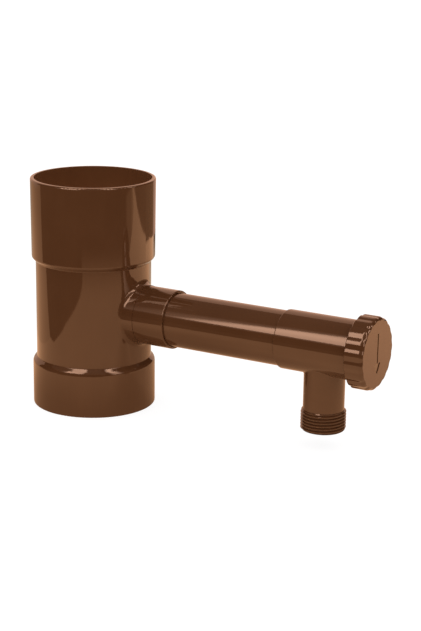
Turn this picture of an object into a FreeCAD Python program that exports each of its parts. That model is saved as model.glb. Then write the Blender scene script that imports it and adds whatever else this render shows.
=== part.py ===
"""Rainwater diverter for a round downpipe, with a side arm and a quarter-turn tap.

Millimetres. The origin is on the downpipe axis at the foot of the lower collar, +Z is up the
downpipe and +X runs out along the arm. Each sub-part is written to parts/ as its own STEP file.
"""
import FreeCAD, Part
import math
import os

# Downpipe body
PIPE_OD = 90.0
SOCKET_CLEARANCE = 0.25
LOWER_COLLAR_DEPTH = 34.5
BARREL_LENGTH = 82.4
UPPER_SOCKET_DEPTH = 61.3
SOCKET_RIM_WALL = 2.85
SOCKET_ROOT_WALL = 2.4
COLLAR_WALL = 2.4
BODY_OD = 89.3
BODY_WALL = 2.65
SOCKET_SHOULDER_RISE = 3.0
SOCKET_SHOULDER_ROUND = 2.4
COLLAR_SHOULDER_RISE = 3.4
COLLAR_SHOULDER_ROUND = 5.0
COLLAR_SHOULDER_LIFT = 0.2
SHOULDER_ROOT_ROUND = 0.8
RIM_ROUND = 1.2
FOOT_ROUND = 0.7

# Branch on the body, its axis so far above the lower pipe stop
ARM_RISE = 41.9
BRANCH_STOP_REACH = 7.45
BRANCH_SOCKET_DEPTH = 24.0
BRANCH_WALL = 1.85
BRANCH_RING_REACH = 5.15
BRANCH_RING_STEP = 0.35
BRANCH_ROOT_FILLET = 4.0
MOUTH_ROUND = 0.8
MOUTH_BEVEL = 0.3

# Arm tube
TUBE_OD = 41.0
TUBE_WALL = 1.9
TUBE_LENGTH = 129.7
TUBE_FIT = 0.05
TUBE_END_BEVEL = 0.3

# Collector ring inside the body
COLLECTOR_FIT = 0.1
WEIR_BORE = 58.0
WEIR_WALL = 2.4
WEIR_RISE = 14.0
TROUGH_DROP = 4.5
TROUGH_FLOOR = 2.2
SKIRT_WALL = 1.6
SKIRT_GAP = 1.0
DRIP_LENGTH = 5.0
WEIR_ROUND = 0.5
LEDGE_WIDTH = 1.8
LEDGE_THICKNESS = 2.4

# Outlet tee
TEE_SOCKET_WALL = 1.35
TEE_SOCKET_DEPTH = 12.4
TEE_LENGTH = 69.1
TEE_RIM_ROUND = 0.9
OUTLET_OFFSET = 19.5
OUTLET_OD = 30.24
OUTLET_BORE = 25.2
OUTLET_DROP = 63.15
OUTLET_FILLET = 1.0
BEAD_HEIGHT = 0.7
BEAD_WIDTH = 2.0

# Hose thread, pipe size 1 inch
THREAD_OD = 33.25
THREAD_PITCH = 2.309
THREAD_DEPTH = 1.479
THREAD_LENGTH = 15.5
THREAD_FLANK_ANGLE = 27.5
THREAD_CREST_FLAT = 0.38
THREAD_LEAD = 1.2
# The ridge starts this much inside the outlet's wall, and what trims it stands as far past it
THREAD_SUNK = 0.2

# Quarter-turn plug and its seals
PLUG_FIT = 0.05
PLUG_WALL = 3.0
PLUG_END_GAP = 0.5
PORT_DIAMETER = 23.8
PLUG_WEB_OFFSET = 19.0
PLUG_WEB = 3.0
DRIVE_SQUARE = 13.0
DRIVE_WALL = 2.0
DRIVE_FIT = 0.05
DRIVE_LENGTH = 12.5
SEAL_WIDTH = 2.2
SEAL_ROUND = 0.7
SEAL_GROOVE_DEPTH = 1.6
SEAL_SIDE_GAP = 0.2
SEAL_FIT = 0.05
SEAL_INSET = 3.0
SEAL_PORT_GAP = 2.3

# Control knob
KNOB_PLAY = 0.35
KNOB_FACE_THICKNESS = 3.5
KNOB_DEPTH = 14.25
KNOB_PEAK_RADIUS = 26.8
KNOB_VALLEY_RADIUS = 26.2
KNOB_LOBES = 19
KNOB_LOBE_ROUND = 8.2
KNOB_FACE_ROUND = 3.8
# The flat face cuts this much off the top of that rounding
KNOB_FACE_CUT = 0.5
KNOB_BACK_BEVEL = 0.5
KNOB_SKIRT_GAP = 0.3
SNAP_LIP_WIDTH = 1.7
SNAP_SIDE_GAP = 0.3
TURN_ANGLE = 90.0
STOP_KEY_ANGLE = 16.0
STOP_PLAY_ANGLE = 1.0
STOP_DEPTH = 3.5
STOP_WALL = 1.6
STOP_GAP = 0.3
ARROW_DEPTH = 0.5
ARROW_SHAFT_WIDTH = 1.6
ARROW_HEAD_WIDTH = 10.2
ARROW_HEAD_LENGTH = 7.8
ARROW_TIP = 14.9
ARROW_TAIL = 15.1

# Radii that follow from the sizes above
socket_bore_r = PIPE_OD / 2 + SOCKET_CLEARANCE
socket_rim_r = socket_bore_r + SOCKET_RIM_WALL
socket_root_r = socket_bore_r + SOCKET_ROOT_WALL
collar_r = socket_bore_r + COLLAR_WALL
body_r = BODY_OD / 2
body_bore_r = body_r - BODY_WALL
tube_r = TUBE_OD / 2
tube_bore_r = tube_r - TUBE_WALL
tube_socket_r = tube_r + TUBE_FIT
branch_r = tube_socket_r + BRANCH_WALL
branch_root_r = branch_r + BRANCH_RING_STEP
tee_r = tube_socket_r + TEE_SOCKET_WALL
outlet_r = OUTLET_OD / 2
outlet_bore_r = OUTLET_BORE / 2
thread_crest_r = THREAD_OD / 2
thread_root_r = thread_crest_r - THREAD_DEPTH
plug_r = tube_bore_r - PLUG_FIT
plug_bore_r = plug_r - PLUG_WALL
port_r = PORT_DIAMETER / 2
bead_r = tee_r + BEAD_HEIGHT
lip_bore_r = tee_r + KNOB_SKIRT_GAP
skirt_bore_r = bead_r + KNOB_SKIRT_GAP

# Heights on the body
lower_stop_z = LOWER_COLLAR_DEPTH
upper_stop_z = lower_stop_z + BARREL_LENGTH
body_top_z = upper_stop_z + UPPER_SOCKET_DEPTH
arm_z = lower_stop_z + ARM_RISE
floor_top_z = arm_z - tube_bore_r - TROUGH_DROP
ledge_top_z = floor_top_z - TROUGH_FLOOR
skirt_top_z = arm_z - tube_bore_r - SKIRT_GAP
outlet_end_z = arm_z - OUTLET_DROP

# Places along the arm
branch_stop_x = body_r + BRANCH_STOP_REACH
branch_ring_x = body_r + BRANCH_RING_REACH
branch_mouth_x = branch_stop_x + BRANCH_SOCKET_DEPTH
tube_end_x = branch_stop_x + TUBE_LENGTH
tee_rim_x = tube_end_x - TEE_SOCKET_DEPTH
tee_end_x = tee_rim_x + TEE_LENGTH
outlet_x = tube_end_x + OUTLET_OFFSET
knob_plate_x = tee_end_x + KNOB_PLAY
knob_face_x = knob_plate_x + KNOB_FACE_THICKNESS
knob_back_x = knob_face_x - KNOB_DEPTH
snap_lip_x = knob_back_x + SNAP_LIP_WIDTH
bead_x = snap_lip_x + SNAP_SIDE_GAP
plug_start_x = tube_end_x + PLUG_END_GAP
seal_inner_x = plug_start_x + SEAL_INSET
seal_outer_x = outlet_x + port_r + SEAL_PORT_GAP + SEAL_WIDTH
plug_web_x = outlet_x + PLUG_WEB_OFFSET

UP = FreeCAD.Vector(0, 0, 1)
OUT = FreeCAD.Vector(1, 0, 0)
# Angles about the arm axis run from +Y, so +Z stands at a right angle
TOP_ANGLE = 90.0
# Share of a straight stretch that one rounded corner may take
ROUND_SHARE = 0.45


def upright(radius, along):
    """A point of an outline that is turned about the downpipe axis."""
    return FreeCAD.Vector(radius, 0, along)


def along_arm(radius, along):
    """A point of an outline that is turned about the arm axis."""
    return FreeCAD.Vector(along, 0, arm_z + radius)


def rounded_face(corners, place):
    """A flat face through corners (radius, along, rounding), each rounded by a tangent arc."""
    points = [place(radius, along) for radius, along, rounding in corners]
    count = len(points)
    starts = []
    middles = []
    ends = []
    for i, corner in enumerate(corners):
        here = points[i]
        back = points[i - 1] - here
        ahead = points[(i + 1) % count] - here
        half = back.getAngle(ahead) / 2
        longest = ROUND_SHARE * min(back.Length, ahead.Length)
        tangent = min(corner[2] / math.tan(half), longest)
        rounding = tangent * math.tan(half)
        back.normalize()
        ahead.normalize()
        inward = back + ahead
        starts.append(here + back * tangent)
        ends.append(here + ahead * tangent)
        if rounding > 0:
            inward.normalize()
            middles.append(here + inward * (rounding / math.sin(half) - rounding))
        else:
            middles.append(None)
    edges = []
    for i in range(count):
        if middles[i] is not None:
            edges.append(Part.Arc(starts[i], middles[i], ends[i]).toShape())
        edges.append(Part.makeLine(ends[i], starts[(i + 1) % count]))
    return Part.Face(Part.Wire(edges))


def turned_upright(corners):
    """A solid turned about the downpipe axis."""
    return rounded_face(corners, upright).revolve(FreeCAD.Vector(0, 0, 0), UP, 360)


def turned_on_arm(corners):
    """A solid turned about the arm axis."""
    return rounded_face(corners, along_arm).revolve(FreeCAD.Vector(0, 0, arm_z), OUT, 360)


def rod(radius, start, end):
    """A plain cylinder between two points."""
    run = end - start
    return Part.makeCylinder(radius, run.Length, start, run)


def on_axis(x):
    """The point of the arm axis at x."""
    return FreeCAD.Vector(x, 0, arm_z)


def seam_edges(solid, centre_a, direction_a, radius_a, centre_b, direction_b, radius_b):
    """The edges of a solid that lie on two round walls at once."""
    found = []
    for edge in solid.Edges:
        points = edge.discretize(7)
        on_a = [abs(p.distanceToLine(centre_a, direction_a) - radius_a) for p in points]
        on_b = [abs(p.distanceToLine(centre_b, direction_b) - radius_b) for p in points]
        if max(on_a + on_b) < 0.02:
            found.append(edge)
    return found


def diverter_body():
    """One moulding: upper socket, barrel, lower collar and the branch socket."""
    collar_corner_z = LOWER_COLLAR_DEPTH + COLLAR_SHOULDER_LIFT
    outside = turned_upright([
        (0, 0, 0),
        (collar_r, 0, FOOT_ROUND),
        (collar_r, collar_corner_z, COLLAR_SHOULDER_ROUND),
        (body_r, collar_corner_z + COLLAR_SHOULDER_RISE, SHOULDER_ROOT_ROUND),
        (body_r, upper_stop_z - SOCKET_SHOULDER_RISE, SHOULDER_ROOT_ROUND),
        (socket_root_r, upper_stop_z, SOCKET_SHOULDER_ROUND),
        (socket_rim_r, body_top_z, RIM_ROUND),
        (0, body_top_z, 0),
    ])
    branch = turned_on_arm([
        (0, 0, 0),
        (branch_root_r, 0, 0),
        (branch_root_r, branch_ring_x, 0),
        (branch_r, branch_ring_x, 0),
        (branch_r, branch_mouth_x, MOUTH_ROUND),
        (0, branch_mouth_x, 0),
    ])
    outside = outside.fuse(branch).removeSplitter()
    seam = seam_edges(outside, FreeCAD.Vector(0, 0, 0), UP, body_r,
                      on_axis(0), OUT, branch_root_r)
    outside = outside.makeFillet(BRANCH_ROOT_FILLET, seam)

    waterway = turned_upright([
        (0, -FOOT_ROUND, 0),
        (socket_bore_r, -FOOT_ROUND, 0),
        (socket_bore_r, lower_stop_z, 0),
        (body_bore_r, lower_stop_z, 0),
        (body_bore_r, ledge_top_z - LEDGE_THICKNESS - LEDGE_WIDTH, 0),
        (body_bore_r - LEDGE_WIDTH, ledge_top_z - LEDGE_THICKNESS, 0),
        (body_bore_r - LEDGE_WIDTH, ledge_top_z, 0),
        (body_bore_r, ledge_top_z, 0),
        (body_bore_r, upper_stop_z, 0),
        (socket_bore_r, upper_stop_z, 0),
        (socket_bore_r, body_top_z + RIM_ROUND, 0),
        (0, body_top_z + RIM_ROUND, 0),
    ])
    arm_way = turned_on_arm([
        (0, 0, 0),
        (tube_bore_r, 0, 0),
        (tube_bore_r, branch_stop_x, 0),
        (tube_socket_r, branch_stop_x, 0),
        (tube_socket_r, branch_mouth_x - MOUTH_BEVEL, 0),
        (tube_socket_r + 2 * MOUTH_BEVEL, branch_mouth_x + MOUTH_BEVEL, 0),
        (0, branch_mouth_x + MOUTH_BEVEL, 0),
    ])
    return outside.cut(waterway).cut(arm_way)


def collector_ring():
    """The trough that catches what runs down the wall, with a weir round its middle."""
    ring_r = body_bore_r - COLLECTOR_FIT
    weir_bore_r = WEIR_BORE / 2
    weir_r = weir_bore_r + WEIR_WALL
    return turned_upright([
        (weir_bore_r, ledge_top_z - DRIP_LENGTH, 0),
        (weir_r, ledge_top_z - DRIP_LENGTH, 0),
        (weir_r, ledge_top_z, 0),
        (ring_r, ledge_top_z, 0),
        (ring_r, skirt_top_z, 0),
        (ring_r - SKIRT_WALL, skirt_top_z, 0),
        (ring_r - SKIRT_WALL, floor_top_z, 0),
        (weir_r, floor_top_z, 0),
        (weir_r, arm_z + WEIR_RISE, WEIR_ROUND),
        (weir_bore_r, arm_z + WEIR_RISE, WEIR_ROUND),
    ])


def arm_tube():
    """The plain tube between the branch and the tee."""
    return turned_on_arm([
        (tube_bore_r, branch_stop_x, 0),
        (tube_r - TUBE_END_BEVEL, branch_stop_x, 0),
        (tube_r, branch_stop_x + TUBE_END_BEVEL, 0),
        (tube_r, tube_end_x - TUBE_END_BEVEL, 0),
        (tube_r - TUBE_END_BEVEL, tube_end_x, 0),
        (tube_bore_r, tube_end_x, 0),
    ])


def thread_ridge():
    """The helical ridge of the hose thread, trimmed to the threaded length."""
    bottom = FreeCAD.Vector(outlet_x, 0, outlet_end_z)
    slope = math.tan(math.radians(THREAD_FLANK_ANGLE))
    inner_x = thread_root_r - THREAD_SUNK
    half_crest = THREAD_CREST_FLAT / 2
    half_foot = half_crest + (THREAD_DEPTH + THREAD_SUNK) * slope
    section = Part.makePolygon([
        FreeCAD.Vector(inner_x, 0, -half_foot),
        FreeCAD.Vector(thread_crest_r, 0, -half_crest),
        FreeCAD.Vector(thread_crest_r, 0, half_crest),
        FreeCAD.Vector(inner_x, 0, half_foot),
        FreeCAD.Vector(inner_x, 0, -half_foot),
    ])
    path = Part.makeHelix(THREAD_PITCH, THREAD_LENGTH + 2 * THREAD_PITCH, thread_crest_r)
    ridge = path.makePipeShell([section], True, True)
    ridge.translate(bottom - UP * THREAD_PITCH)
    past_crest_r = thread_crest_r + THREAD_SUNK
    envelope = rounded_face([
        (0, 0, 0),
        (thread_crest_r - THREAD_LEAD, 0, 0),
        (past_crest_r, THREAD_LEAD + THREAD_SUNK, 0),
        (past_crest_r, THREAD_LENGTH - THREAD_LEAD - THREAD_SUNK, 0),
        (thread_crest_r - THREAD_LEAD, THREAD_LENGTH, 0),
        (0, THREAD_LENGTH, 0),
    ], upright).revolve(FreeCAD.Vector(0, 0, 0), UP, 360)
    envelope.translate(bottom)
    return ridge.common(envelope)


def outlet_tee():
    """The tap housing: a socket on the tube, the plug's barrel and the threaded outlet."""
    barrel = turned_on_arm([
        (0, tee_rim_x, 0),
        (tee_r, tee_rim_x, TEE_RIM_ROUND),
        (tee_r, bead_x, 0),
        (bead_r, bead_x, 0),
        (bead_r, bead_x + BEAD_WIDTH - BEAD_HEIGHT, 0),
        (tee_r, bead_x + BEAD_WIDTH, 0),
        (tee_r, tee_end_x, 0),
        (0, tee_end_x, 0),
    ])
    outlet_top = on_axis(outlet_x)
    outlet_bottom = FreeCAD.Vector(outlet_x, 0, outlet_end_z)
    thread_top = outlet_bottom + UP * THREAD_LENGTH
    outside = barrel.fuse(rod(outlet_r, outlet_top, thread_top - UP * THREAD_PITCH))
    outside = outside.removeSplitter()
    seam = seam_edges(outside, on_axis(0), OUT, tee_r, outlet_bottom, UP, outlet_r)
    outside = outside.makeFillet(OUTLET_FILLET, seam)
    outside = outside.fuse(rod(thread_root_r, thread_top, outlet_bottom))
    outside = outside.fuse(thread_ridge())

    bore = turned_on_arm([
        (0, tee_rim_x - 1, 0),
        (tube_socket_r, tee_rim_x - 1, 0),
        (tube_socket_r, tube_end_x, 0),
        (tube_bore_r, tube_end_x, 0),
        (tube_bore_r, tee_end_x + 1, 0),
        (0, tee_end_x + 1, 0),
    ])
    outlet_bore = rod(outlet_bore_r, outlet_top, outlet_bottom - UP)
    solid = outside.cut(bore).cut(outlet_bore)
    return solid.cut(stop_notch())


def arc_block(inner_r, outer_r, start_x, end_x, start_angle, end_angle):
    """A block between two radii about the arm axis, from one angle to another."""
    face = rounded_face([
        (inner_r, start_x, 0),
        (outer_r, start_x, 0),
        (outer_r, end_x, 0),
        (inner_r, end_x, 0),
    ], along_arm)
    face.rotate(on_axis(0), OUT, start_angle - TOP_ANGLE)
    return face.revolve(on_axis(0), OUT, end_angle - start_angle)


def stop_notch():
    """The arc in the tee's end that lets the knob's key travel a quarter turn."""
    half_key = STOP_KEY_ANGLE / 2 + STOP_PLAY_ANGLE
    return arc_block(tube_bore_r + STOP_WALL, bead_r, tee_end_x - STOP_DEPTH, tee_end_x + 1,
                     TOP_ANGLE - TURN_ANGLE - half_key, TOP_ANGLE + half_key)


def valve_plug():
    """The hollow quarter-turn plug: open towards the tube, with a port facing the outlet."""
    groove_r = plug_r - SEAL_GROOVE_DEPTH
    half_groove = SEAL_WIDTH / 2 + SEAL_SIDE_GAP
    shell = turned_on_arm([
        (plug_bore_r, plug_start_x, 0),
        (plug_r, plug_start_x, 0),
        (plug_r, seal_inner_x - half_groove, 0),
        (groove_r, seal_inner_x - half_groove, 0),
        (groove_r, seal_inner_x + half_groove, 0),
        (plug_r, seal_inner_x + half_groove, 0),
        (plug_r, seal_outer_x - half_groove, 0),
        (groove_r, seal_outer_x - half_groove, 0),
        (groove_r, seal_outer_x + half_groove, 0),
        (plug_r, seal_outer_x + half_groove, 0),
        (plug_r, knob_plate_x, 0),
        (plug_bore_r, knob_plate_x, 0),
    ])
    web = rod(plug_bore_r, on_axis(plug_web_x), on_axis(plug_web_x + PLUG_WEB))
    drive_side = DRIVE_SQUARE + 2 * DRIVE_WALL
    drive = square_bar(drive_side, plug_web_x, knob_plate_x)
    drive_hole = square_bar(DRIVE_SQUARE, plug_web_x + PLUG_WEB, knob_plate_x + 1)
    port = rod(port_r, on_axis(outlet_x), on_axis(outlet_x) - UP * tee_r)
    solid = shell.fuse(web).fuse(drive)
    return solid.cut(drive_hole).cut(port).removeSplitter()


def square_bar(side, start_x, end_x):
    """A square bar along the arm axis."""
    corner = FreeCAD.Vector(start_x, -side / 2, arm_z - side / 2)
    return Part.makeBox(end_x - start_x, side, side, corner)


def plug_seals():
    """The two rubber rings in the plug's grooves, squeezed flat against the barrel."""
    inner_r = plug_r - SEAL_GROOVE_DEPTH
    outer_r = tube_bore_r - SEAL_FIT
    rings = []
    for x in (seal_inner_x, seal_outer_x):
        start_x = x - SEAL_WIDTH / 2
        end_x = x + SEAL_WIDTH / 2
        rings.append(turned_on_arm([
            (inner_r, start_x, SEAL_ROUND),
            (outer_r, start_x, SEAL_ROUND),
            (outer_r, end_x, SEAL_ROUND),
            (inner_r, end_x, SEAL_ROUND),
        ]))
    return Part.makeCompound(rings)


def scalloped_face(x):
    """The knob's outline: round lobes joined by round valleys, as tangent arcs."""
    lobe_centre_r = KNOB_PEAK_RADIUS - KNOB_LOBE_ROUND
    half_step = math.pi / KNOB_LOBES
    toward = lobe_centre_r * math.cos(half_step)
    spread = lobe_centre_r ** 2 + KNOB_VALLEY_RADIUS ** 2 - 2 * toward * KNOB_VALLEY_RADIUS
    valley_round = ((spread - KNOB_LOBE_ROUND ** 2)
                    / (2 * KNOB_LOBE_ROUND + 2 * toward - 2 * KNOB_VALLEY_RADIUS))
    valley_centre_r = KNOB_VALLEY_RADIUS + valley_round

    def point(radius, angle):
        return FreeCAD.Vector(x, radius * math.cos(angle), arm_z + radius * math.sin(angle))

    share = KNOB_LOBE_ROUND / (KNOB_LOBE_ROUND + valley_round)
    edges = []
    for i in range(KNOB_LOBES):
        peak = 2 * half_step * i
        lobe = point(lobe_centre_r, peak)
        before = point(valley_centre_r, peak - half_step)
        after = point(valley_centre_r, peak + half_step)
        onward = point(lobe_centre_r, peak + 2 * half_step)
        start = lobe + (before - lobe) * share
        end = lobe + (after - lobe) * share
        valley_end = onward + (after - onward) * share
        edges.append(Part.Arc(start, point(KNOB_PEAK_RADIUS, peak), end).toShape())
        valley = point(KNOB_VALLEY_RADIUS, peak + half_step)
        edges.append(Part.Arc(end, valley, valley_end).toShape())
    return Part.Face(Part.Wire(edges))


def flow_arrow():
    """The sunk arrow on the knob's face, which points down at the outlet when open."""
    half_shaft = ARROW_SHAFT_WIDTH / 2
    half_head = ARROW_HEAD_WIDTH / 2
    barb = ARROW_HEAD_LENGTH - ARROW_TIP
    outline = [(0, -ARROW_TIP), (half_head, barb), (half_shaft, barb), (half_shaft, ARROW_TAIL),
               (-half_shaft, ARROW_TAIL), (-half_shaft, barb), (-half_head, barb), (0, -ARROW_TIP)]
    start_x = knob_face_x - ARROW_DEPTH
    points = [FreeCAD.Vector(start_x, y, arm_z + z) for y, z in outline]
    return Part.Face(Part.makePolygon(points)).extrude(OUT * (ARROW_DEPTH + 1))


def edges_at(solid, x):
    """The outer edges of a solid that lie in the plane at x."""
    found = []
    for edge in solid.Edges:
        points = edge.discretize(3)
        if max(abs(p.x - x) for p in points) < 0.001:
            found.append(edge)
    return found


def control_knob():
    """The scalloped grip: snapped over the tee's bead and pressed on the plug's square."""
    dome_x = knob_face_x + KNOB_FACE_CUT
    grip = scalloped_face(knob_back_x).extrude(OUT * (dome_x - knob_back_x))
    grip = grip.makeFillet(KNOB_FACE_ROUND, edges_at(grip, dome_x))
    grip = grip.cut(rod(KNOB_PEAK_RADIUS, on_axis(knob_face_x), on_axis(dome_x + 1)))
    grip = grip.makeChamfer(KNOB_BACK_BEVEL, edges_at(grip, knob_back_x))
    hollow = turned_on_arm([
        (0, knob_back_x - 1, 0),
        (lip_bore_r, knob_back_x - 1, 0),
        (lip_bore_r, snap_lip_x - SNAP_LIP_WIDTH / 3, 0),
        (skirt_bore_r, snap_lip_x, 0),
        (skirt_bore_r, knob_plate_x, 0),
        (0, knob_plate_x, 0),
    ])
    hub = square_bar(DRIVE_SQUARE - 2 * DRIVE_FIT, knob_plate_x - DRIVE_LENGTH, knob_plate_x)
    key_inner_r = tube_bore_r + STOP_WALL + STOP_GAP
    half_key = STOP_KEY_ANGLE / 2
    key_start_x = tee_end_x - STOP_DEPTH + STOP_GAP
    key = arc_block(key_inner_r, skirt_bore_r + 1, key_start_x, knob_plate_x + 1,
                    TOP_ANGLE - half_key, TOP_ANGLE + half_key)
    return grip.cut(hollow).fuse(hub).fuse(key).cut(flow_arrow()).removeSplitter()


NODES = {
    "diverter_body": diverter_body,
    "collector_ring": collector_ring,
    "arm_tube": arm_tube,
    "outlet_tee": outlet_tee,
    "valve_plug": valve_plug,
    "plug_seals": plug_seals,
    "control_knob": control_knob,
}

os.makedirs("parts", exist_ok=True)
for name, make in NODES.items():
    shape = make()
    shape.exportStep(f"parts/{name}.step")
    box = shape.BoundBox
    print(f"{name}: solids {len(shape.Solids)}, valid {shape.isValid()}, "
          f"volume {shape.Volume / 1000:.2f} cm3, x {box.XMin:.2f}..{box.XMax:.2f}, "
          f"y {box.YMin:.2f}..{box.YMax:.2f}, z {box.ZMin:.2f}..{box.ZMax:.2f}")
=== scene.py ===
"""Looks of the rainwater diverter: gloss brown moulded plastic under soft studio light."""
import bpy
import math
from mathutils import Matrix, Vector

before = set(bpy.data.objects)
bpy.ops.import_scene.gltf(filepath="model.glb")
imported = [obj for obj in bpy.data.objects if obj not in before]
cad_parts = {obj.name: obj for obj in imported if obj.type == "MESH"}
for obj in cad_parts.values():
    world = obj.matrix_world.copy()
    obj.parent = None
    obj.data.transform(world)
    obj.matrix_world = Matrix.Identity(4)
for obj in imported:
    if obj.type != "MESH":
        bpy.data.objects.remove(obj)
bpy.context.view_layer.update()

MM = 0.001
PHOTO_HEIGHT = 631

# Camera, fitted to the outlines in the photograph
FOCAL_PIXELS = 1620.41
SENSOR_MM = 36.0
CAMERA_AZIMUTH = 0.5258
CAMERA_ELEVATION = 0.2701
CAMERA_ROLL = 0.0132
CAMERA_DISTANCE = 1210.75
CAMERA_TARGET = (105.20, 0.0, 84.15)

# Colour of the plastic, linear
BROWN = (0.098, 0.0345, 0.0128)
BROWN_LIGHT = (0.108, 0.0390, 0.0148)
BROWN_DARK = (0.089, 0.0308, 0.0113)

# Tints of what the gloss reflects, linear
TABLE_TINT = (1.0, 0.52, 0.27)
EDGE_TINT = (1.0, 0.57, 0.39)
LAMP_TINT = (1.0, 0.60, 0.41)
# What the outlines reflect straight behind the part, and the cosines between which it sets in
BEHIND_TINT = (0.62, 0.45, 0.32)
BEHIND_RANGE = (0.70, 0.95)

# Strengths of the lights
WORLD_LIGHT = 0.78
FLOOR_GLOW = 0.86
TABLE_GLOW = 1.42
SOFTBOX_GLOW = 8.2
STRIP_GLOW = 7.0
SOCKET_LIGHT_WATTS = 0.068

# Places and sizes of the lights, in millimetres
SOCKET_LIGHT_HEIGHT = 128
SOCKET_LIGHT_RADIUS = 12
SOFTBOX_Y = -600
SOFTBOX_FOOT = 318
SOFTBOX_TOP = 3400
STRIP_DISTANCE = 1238
STRIP_HALF_WIDTH = 310
STRIP_FOOT = 230
STRIP_RISE = 4200
CEILING_HEIGHT = 4200
WALL_TOP = 3600
REACH = 12000
# How far round from the front the strip light stands, in radians
STRIP_AZIMUTH = 1.344

# Where the knob's matt face starts along the arm, in millimetres, and how much rougher it is
KNOB_FACE_X = 242.2
KNOB_FACE_MATT = 0.26

# Patterns in the plastic: how many of each fit into a metre, about
CLOUD_SCALE = 22
STREAK_SCALE = 60
MARK_SCALE = 900
SMUDGE_SCALE = 45
WAVE_SCALE = 38
GRAIN_SCALE = 650
PLASTIC_IOR = 1.5


def add_camera():
    """The camera at the photograph's viewpoint."""
    azimuth = CAMERA_AZIMUTH
    elevation = CAMERA_ELEVATION
    back = Vector((math.sin(azimuth) * math.cos(elevation),
                   -math.cos(azimuth) * math.cos(elevation),
                   math.sin(elevation)))
    right = (-back).cross(Vector((0, 0, 1))).normalized()
    up = right.cross(-back)
    rolled_right = right * math.cos(CAMERA_ROLL) + up * math.sin(CAMERA_ROLL)
    rolled_up = up * math.cos(CAMERA_ROLL) - right * math.sin(CAMERA_ROLL)
    data = bpy.data.cameras.new("photo_camera")
    data.sensor_width = SENSOR_MM
    data.lens = FOCAL_PIXELS / PHOTO_HEIGHT * SENSOR_MM
    data.clip_start = 0.01
    data.clip_end = 50
    camera = bpy.data.objects.new("photo_camera", data)
    bpy.context.scene.collection.objects.link(camera)
    place = Vector(CAMERA_TARGET) + back * CAMERA_DISTANCE
    turn = Matrix((rolled_right, rolled_up, back)).transposed().to_4x4()
    camera.matrix_world = Matrix.Translation(place * MM) @ turn
    bpy.context.scene.camera = camera


# Stage and light

def stage_mesh(name, corners, material):
    """A flat stage card through corners in millimetres."""
    mesh = bpy.data.meshes.new(name)
    mesh.from_pydata([Vector(c) * MM for c in corners], [], [list(range(len(corners)))])
    mesh.materials.append(material)
    card = bpy.data.objects.new(name, mesh)
    bpy.context.scene.collection.objects.link(card)
    return card


def only_seen_in_gloss(card):
    """Keeps a card out of sight and out of the soft light: it shows only in reflections."""
    card.visible_camera = False
    card.visible_diffuse = False
    card.visible_shadow = False
    card.visible_transmission = False
    card.visible_volume_scatter = False


def glow_material(name, strength, colour):
    """A plain emitter, and its node tree and emission node for what varies its strength."""
    material = bpy.data.materials.new(name)
    material.use_nodes = True
    tree = material.node_tree
    tree.nodes.clear()
    out = tree.nodes.new("ShaderNodeOutputMaterial")
    glow = tree.nodes.new("ShaderNodeEmission")
    glow.inputs["Color"].default_value = (*colour, 1)
    glow.inputs["Strength"].default_value = strength
    tree.links.new(glow.outputs["Emission"], out.inputs["Surface"])
    return material, tree, glow


def map_range(tree, value, low, high, to_low, to_high):
    """A smooth step of a value from one range to another."""
    node = tree.nodes.new("ShaderNodeMapRange")
    node.interpolation_type = "SMOOTHSTEP"
    node.inputs["From Min"].default_value = low
    node.inputs["From Max"].default_value = high
    node.inputs["To Min"].default_value = to_low
    node.inputs["To Max"].default_value = to_high
    tree.links.new(value, node.inputs["Value"])
    return node.outputs["Result"]


def math_node(tree, operation, first, second):
    """A math node on two sockets or numbers."""
    node = tree.nodes.new("ShaderNodeMath")
    node.operation = operation
    for socket, value in ((node.inputs[0], first), (node.inputs[1], second)):
        if isinstance(value, (int, float)):
            socket.default_value = value
        else:
            tree.links.new(value, socket)
    return node.outputs[0]


def stage_axes(tree):
    """The X, Y and Z of a stage point, in metres."""
    split = tree.nodes.new("ShaderNodeSeparateXYZ")
    place = tree.nodes.new("ShaderNodeTexCoord").outputs["Object"]
    tree.links.new(place, split.inputs["Vector"])
    return split.outputs["X"], split.outputs["Y"], split.outputs["Z"]


def distance_from(tree, centre, squash=(1, 1, 1)):
    """The distance in millimetres of a stage point from a centre."""
    place = tree.nodes.new("ShaderNodeTexCoord").outputs["Object"]
    shift = tree.nodes.new("ShaderNodeVectorMath")
    shift.operation = "SUBTRACT"
    tree.links.new(place, shift.inputs[0])
    shift.inputs[1].default_value = Vector(centre) * MM
    scale = tree.nodes.new("ShaderNodeVectorMath")
    scale.operation = "MULTIPLY"
    tree.links.new(shift.outputs[0], scale.inputs[0])
    scale.inputs[1].default_value = Vector(squash) / MM
    length = tree.nodes.new("ShaderNodeVectorMath")
    length.operation = "LENGTH"
    tree.links.new(scale.outputs[0], length.inputs[0])
    return length.outputs["Value"]


def faded(tree, glow, parts, strength):
    """Sets an emitter's strength to a number times each of some fades."""
    level = strength
    for part in parts:
        level = math_node(tree, "MULTIPLY", part, level)
    tree.links.new(level, glow.inputs["Strength"])


def grey_behind(tree, glow):
    """Makes the table's glow greyer straight behind the part, where the outlines reflect it."""
    out, back, _ = stage_axes(tree)
    along = math_node(tree, "ADD", math_node(tree, "MULTIPLY", out, -math.sin(CAMERA_AZIMUTH)),
                      math_node(tree, "MULTIPLY", back, math.cos(CAMERA_AZIMUTH)))
    away = math_node(tree, "MULTIPLY", distance_from(tree, (0, 0, 0)), MM)
    facing = map_range(tree, math_node(tree, "DIVIDE", along, away), *BEHIND_RANGE, 0.0, 1.0)
    mix = tree.nodes.new("ShaderNodeMix")
    mix.data_type = "RGBA"
    mix.inputs["A"].default_value = (*TABLE_TINT, 1)
    mix.inputs["B"].default_value = (*BEHIND_TINT, 1)
    tree.links.new(facing, mix.inputs["Factor"])
    tree.links.new(mix.outputs["Result"], glow.inputs["Color"])


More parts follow.
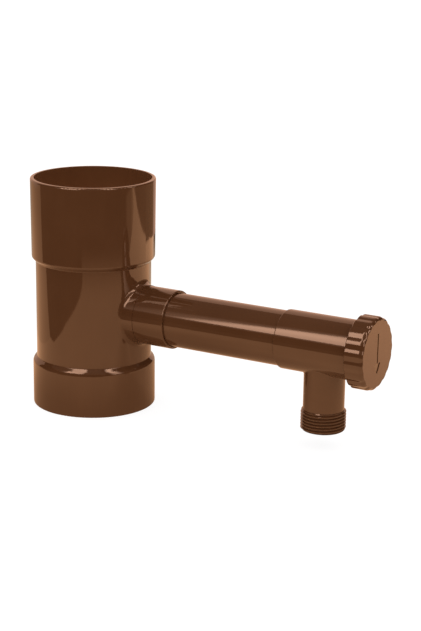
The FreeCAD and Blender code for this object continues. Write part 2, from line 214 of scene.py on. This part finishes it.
def plain_card(name, strength, colour, corners):
    """A card of even light that shows only in reflections."""
    material, _, _ = glow_material(name + "_glow", strength, colour)
    only_seen_in_gloss(stage_mesh(name, corners, material))


def facing_card(name, strength, colour, centre, width, height):
    """A card of even light, turned to face the object."""
    out = Vector(centre).normalized()
    across = out.cross(Vector((0, 0, 1))).normalized() * width / 2
    rise = across.cross(out).normalized() * height / 2
    middle = Vector(centre)
    plain_card(name, strength, colour, [middle - across - rise, middle + across - rise,
                                        middle + across + rise, middle - across + rise])


def add_floor():
    """The pale floor that the camera sees."""
    material = bpy.data.materials.new("pale_floor")
    material.use_nodes = True
    shader = material.node_tree.nodes["Principled BSDF"]
    shader.inputs["Base Color"].default_value = (0.3, 0.3, 0.3, 1)
    shader.inputs["Roughness"].default_value = 1.0
    shader.inputs["Specular IOR Level"].default_value = 0.0
    shader.inputs["Emission Color"].default_value = (1, 1, 1, 1)
    shader.inputs["Emission Strength"].default_value = FLOOR_GLOW
    floor = stage_mesh("floor", [(-REACH, -REACH, 0), (REACH, -REACH, 0),
                                 (REACH, REACH, 0), (-REACH, REACH, 0)], material)
    floor.visible_glossy = False
    floor.visible_diffuse = False


def add_table_light():
    """The lit table top as the gloss shows it, with the edges of its light and a painted shadow
    of the part on it, dimmer close round the body and under the arm.
    """
    table, tree, glow = glow_material("table_glow", 1.0, TABLE_TINT)
    # Painted shadow: the table's glow is dimmed close round the body and under the arm, where the
    # part would shade the table.
    painted_contact_shadow = map_range(tree, distance_from(tree, (0, 0, 0)), 45, 190, 0.48, 1.0)
    painted_arm_shadow = map_range(tree, distance_from(tree, (140, 0, 0), (0.42, 1, 1)), 15, 75, 0.62, 1.0)
    far = map_range(tree, distance_from(tree, (-20, 20, 0)), 395, 640, 1.0, 0.09)
    faded(tree, glow, (painted_contact_shadow, painted_arm_shadow, far), TABLE_GLOW)
    grey_behind(tree, glow)
    only_seen_in_gloss(stage_mesh("table_card", [
        (-200, -133, -1), (-165, -160, -1), (-150, -200, -1), (-130, -235, -1),
        (-100, -285, -1), (-50, -330, -1), (0, -365, -1), (60, -402, -1), (100, -440, -1),
        (120, -490, -1), (150, -640, -1), (400, -620, -1), (650, -400, -1),
        (700, 20, -1), (560, 110, -1), (430, 470, -1), (56, 607, -1), (-200, 607, -1),
    ], table))

    sheet, tree, glow = glow_material("sheet_glow", 1.0, TABLE_TINT)
    # Painted shadow: the sheet's glow is dimmed close round the body, where the part would shade
    # the table.
    painted_sheet_shadow = map_range(tree, distance_from(tree, (0, 0, 0)), 45, 150, 0.7, 1.0)
    outward = map_range(tree, distance_from(tree, (0, 0, 0)), 150, 650, 0.95, 2.25)
    faded(tree, glow, (painted_sheet_shadow, outward), 1.0)
    grey_behind(tree, glow)
    only_seen_in_gloss(stage_mesh("sheet_card", [
        (0, 60, -0.5), (150, 40, -0.5), (400, 50, -0.5), (506, 66, -0.5), (572, 135, -0.5),
        (660, 231, -0.5), (735, 285, -0.5), (860, 285, -0.5), (865, 335, -0.5),
        (694, 379, -0.5), (582, 417, -0.5), (447, 458, -0.5), (345, 488, -0.5),
        (330, 440, -0.5), (300, 505, -0.5), (232, 561, -0.5), (56, 607, -0.5), (0, 607, -0.5),
    ], sheet))

    fringe, tree, glow = glow_material("fringe_glow", 1.0, TABLE_TINT)
    out, back, _ = stage_axes(tree)
    slope = math_node(tree, "DIVIDE", back, out)
    start = map_range(tree, slope, 0.03, 0.15, 0.13, 0.70)
    finish = map_range(tree, slope, 0.24, 0.40, 0.0, 0.9)
    faded(tree, glow, (math_node(tree, "ADD", start, finish),), 1.0)
    only_seen_in_gloss(stage_mesh("fringe_card", [
        (506, 66, -0.5), (506, 15, -0.5), (835, 25, -0.5), (870, 200, -0.5), (862, 285, -0.5),
        (735, 285, -0.5), (660, 231, -0.5), (572, 135, -0.5),
    ], fringe))

    left, tree, glow = glow_material("left_table_glow", 1.0, TABLE_TINT)
    far = map_range(tree, distance_from(tree, (0, 0, 0)), 350, 900, 1.18, 0.8)
    faded(tree, glow, (far,), 1.0)
    grey_behind(tree, glow)
    only_seen_in_gloss(stage_mesh("left_table_card", [
        (-900, -238, -1), (-450, -166, -1), (-200, -133, -1), (-200, 607, -1), (-900, 607, -1),
    ], left))
    plain_card("rear_floor_card", 0.38, TABLE_TINT, [
        (56, 607, -1.5), (700, 200, -1.5), (2600, 400, -1.5), (1500, 3000, -1.5),
        (190, 2600, -1.5)])
    plain_card("back_table_card", 0.85, EDGE_TINT, [
        (56, 607, -1), (190, 2600, -1), (-3000, 2600, -1), (-3000, -100, -1),
        (-900, -238, -1), (-900, 607, -1), (-200, 607, -1)])
    plain_card("dim_floor_card", 0.13, TABLE_TINT, [
        (-REACH, -REACH, -2), (REACH, -REACH, -2), (REACH, REACH, -2), (-REACH, REACH, -2)])


def add_softboxes():
    """The softboxes, the pale wall behind and the dim ceiling, seen in the gloss only."""
    plain_card("wall_card", 1.14, EDGE_TINT, [
        (-3000, -100, 0), (-3000, 2600, 0), (190, 2600, 0),
        (190, 2600, WALL_TOP), (-3000, 2600, WALL_TOP), (-3000, -100, WALL_TOP)])
    plain_card("ceiling_card", 0.25, EDGE_TINT, [
        (-5000, -5000, CEILING_HEIGHT), (5000, -5000, CEILING_HEIGHT),
        (5000, 5000, CEILING_HEIGHT), (-5000, 5000, CEILING_HEIGHT)])

    box, tree, glow = glow_material("softbox_glow", 1.0, LAMP_TINT)
    across, _, height = stage_axes(tree)
    edge = map_range(tree, across, -0.325, -0.245, 0.0, 0.87)
    halo = map_range(tree, across, -0.460, -0.320, 0.04, 0.13)
    from_left = math_node(tree, "ADD", edge, halo)
    to_right = map_range(tree, across, 0.085, 0.165, 1.0, 0.045)
    from_below = map_range(tree, height, 0.362, 0.384, 0.11, 1.0)
    middle = map_range(tree, distance_from(tree, (-229, SOFTBOX_Y, 675)), 40, 330, 1.2, 0.95)
    upward = map_range(tree, height, 0.9, 1.4, 1.0, 1.3)
    faded(tree, glow, (from_left, to_right, from_below, middle, upward), SOFTBOX_GLOW)
    only_seen_in_gloss(stage_mesh("softbox_card", [
        (-460, SOFTBOX_Y, SOFTBOX_FOOT), (900, SOFTBOX_Y, SOFTBOX_FOOT),
        (900, SOFTBOX_Y, SOFTBOX_TOP), (-460, SOFTBOX_Y, SOFTBOX_TOP)], box))

    strip, tree, glow = glow_material("strip_glow", 1.0, LAMP_TINT)
    middle = Vector((math.sin(STRIP_AZIMUTH), -math.cos(STRIP_AZIMUTH), 0)) * STRIP_DISTANCE
    aside = map_range(tree, distance_from(tree, middle, (1, 1, 0)), 50, 290, 1.0, 0.04)
    _, _, height = stage_axes(tree)
    upward = map_range(tree, height, 0.6, 1.5, 0.7, 1.4)
    faded(tree, glow, (aside, upward), STRIP_GLOW)
    across = Vector((math.cos(STRIP_AZIMUTH), math.sin(STRIP_AZIMUTH), 0)) * STRIP_HALF_WIDTH
    foot = middle + Vector((0, 0, STRIP_FOOT))
    rise = Vector((0, 0, STRIP_RISE))
    only_seen_in_gloss(stage_mesh("strip_card", [
        foot - across, foot + across, foot + across + rise, foot - across + rise], strip))

    facing_card("slot_card", 4.0, LAMP_TINT, (-960, -600, 1640), 110, 110)
    facing_card("side_card", 6.0, LAMP_TINT, (1500, 700, 1150), 520, 520)


def add_socket_light():
    """A small soft light in the upper socket, for the light that comes down into it."""
    data = bpy.data.lights.new("socket_light", "POINT")
    data.energy = SOCKET_LIGHT_WATTS
    data.shadow_soft_size = SOCKET_LIGHT_RADIUS * MM
    light = bpy.data.objects.new("socket_light", data)
    light.location = Vector((0, 0, SOCKET_LIGHT_HEIGHT)) * MM
    bpy.context.scene.collection.objects.link(light)
    light.visible_camera = False
    light.visible_glossy = False


def add_world():
    """Even soft light from all round, which the camera sees as plain white and gloss doesn't."""
    world = bpy.data.worlds.new("studio")
    bpy.context.scene.world = world
    world.use_nodes = True
    background = world.node_tree.nodes["Background"]
    background.inputs["Color"].default_value = (1, 1, 1, 1)
    path = world.node_tree.nodes.new("ShaderNodeLightPath")
    level = map_range(world.node_tree, path.outputs["Is Camera Ray"], 0, 1, WORLD_LIGHT, 1.0)
    world.node_tree.links.new(level, background.inputs["Strength"])
    world.cycles_visibility.glossy = False


# Materials of the object

def link(tree, source, target):
    """Joins two sockets."""
    tree.links.new(source, target)


def noise(tree, place, scale, detail, roughness=0.5):
    """A noise value over a vector."""
    node = tree.nodes.new("ShaderNodeTexNoise")
    node.inputs["Scale"].default_value = scale
    node.inputs["Detail"].default_value = detail
    node.inputs["Roughness"].default_value = roughness
    link(tree, place, node.inputs["Vector"])
    return node.outputs["Fac"]


def stretched(tree, place, factors):
    """A vector scaled along each axis, which draws a pattern out along an axis."""
    node = tree.nodes.new("ShaderNodeVectorMath")
    node.operation = "MULTIPLY"
    link(tree, place, node.inputs[0])
    node.inputs[1].default_value = factors
    return node.outputs[0]


def brown_plastic(name, flow, gloss=0.04, wave_mm=0.03, grain_mm=0.0006, matt_from=None):
    """Gloss brown plastic: faint flow streaks, a slightly wavy skin and fine handling marks.

    Where matt_from is given, what lies further out along the arm has a finely matt skin.
    """
    material = bpy.data.materials.new(name)
    material.use_nodes = True
    tree = material.node_tree
    shader = tree.nodes["Principled BSDF"]
    place = tree.nodes.new("ShaderNodeTexCoord").outputs["Object"]

    cloud = noise(tree, place, CLOUD_SCALE, 3)
    streak = noise(tree, stretched(tree, place, flow), STREAK_SCALE, 4, 0.6)
    shade = math_node(tree, "ADD", math_node(tree, "MULTIPLY", cloud, 0.6),
                      math_node(tree, "MULTIPLY", streak, 0.4))
    ramp = tree.nodes.new("ShaderNodeValToRGB")
    ramp.color_ramp.elements[0].position = 0.30
    ramp.color_ramp.elements[0].color = (*BROWN_DARK, 1)
    ramp.color_ramp.elements[1].position = 0.70
    ramp.color_ramp.elements[1].color = (*BROWN_LIGHT, 1)
    middle = ramp.color_ramp.elements.new(0.5)
    middle.color = (*BROWN, 1)
    link(tree, shade, ramp.inputs["Fac"])
    link(tree, ramp.outputs["Color"], shader.inputs["Base Color"])

    marks = noise(tree, place, MARK_SCALE, 5, 0.65)
    smudge = noise(tree, place, SMUDGE_SCALE, 4, 0.6)
    rough = math_node(tree, "ADD", map_range(tree, smudge, 0.35, 0.75, gloss, gloss + 0.025),
                      map_range(tree, marks, 0.45, 0.75, 0.0, 0.015))
    if matt_from is not None:
        split = tree.nodes.new("ShaderNodeSeparateXYZ")
        link(tree, place, split.inputs["Vector"])
        matt = map_range(tree, split.outputs["X"], matt_from * MM, (matt_from + 0.1) * MM,
                         0.0, KNOB_FACE_MATT)
        rough = math_node(tree, "ADD", rough, matt)
    link(tree, rough, shader.inputs["Roughness"])

    wave = noise(tree, place, WAVE_SCALE, 1, 0.4)
    grain = noise(tree, place, GRAIN_SCALE, 2, 0.5)
    wavy = tree.nodes.new("ShaderNodeBump")
    wavy.inputs["Strength"].default_value = 1.0
    wavy.inputs["Distance"].default_value = wave_mm * MM
    link(tree, wave, wavy.inputs["Height"])
    grainy = tree.nodes.new("ShaderNodeBump")
    grainy.inputs["Strength"].default_value = 1.0
    grainy.inputs["Distance"].default_value = grain_mm * MM
    link(tree, grain, grainy.inputs["Height"])
    link(tree, wavy.outputs["Normal"], grainy.inputs["Normal"])
    link(tree, grainy.outputs["Normal"], shader.inputs["Normal"])

    shader.inputs["IOR"].default_value = PLASTIC_IOR
    return material


def black_rubber(name):
    """Matt black seal rubber with a fine skin."""
    material = bpy.data.materials.new(name)
    material.use_nodes = True
    tree = material.node_tree
    shader = tree.nodes["Principled BSDF"]
    place = tree.nodes.new("ShaderNodeTexCoord").outputs["Object"]
    mottle = noise(tree, place, 300, 3)
    ramp = tree.nodes.new("ShaderNodeValToRGB")
    ramp.color_ramp.elements[0].color = (0.012, 0.012, 0.012, 1)
    ramp.color_ramp.elements[1].color = (0.028, 0.027, 0.026, 1)
    link(tree, mottle, ramp.inputs["Fac"])
    link(tree, ramp.outputs["Color"], shader.inputs["Base Color"])
    rough = map_range(tree, mottle, 0.3, 0.7, 0.45, 0.6)
    link(tree, rough, shader.inputs["Roughness"])
    return material


def dress_nodes():
    """Gives each CAD node its material."""
    along_arm = (0.15, 1, 1)
    up_body = (1, 1, 0.15)
    looks = {
        "diverter_body": brown_plastic("body_skin", up_body, wave_mm=0.02),
        "collector_ring": brown_plastic("collector_skin", up_body, gloss=0.12),
        "arm_tube": brown_plastic("tube_skin", (0.02, 1, 1), wave_mm=0.05),
        "outlet_tee": brown_plastic("tee_skin", along_arm),
        "valve_plug": brown_plastic("plug_skin", along_arm, gloss=0.12),
        "plug_seals": black_rubber("seal_skin"),
        "control_knob": brown_plastic("knob_skin", (1, 0.4, 0.4), matt_from=KNOB_FACE_X),
    }
    for node, material in looks.items():
        mesh_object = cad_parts[node]
        for slot in mesh_object.material_slots:
            slot.material = material


bpy.context.scene.view_settings.view_transform = "Standard"
add_camera()
add_floor()
add_table_light()
add_softboxes()
add_socket_light()
add_world()
dress_nodes()
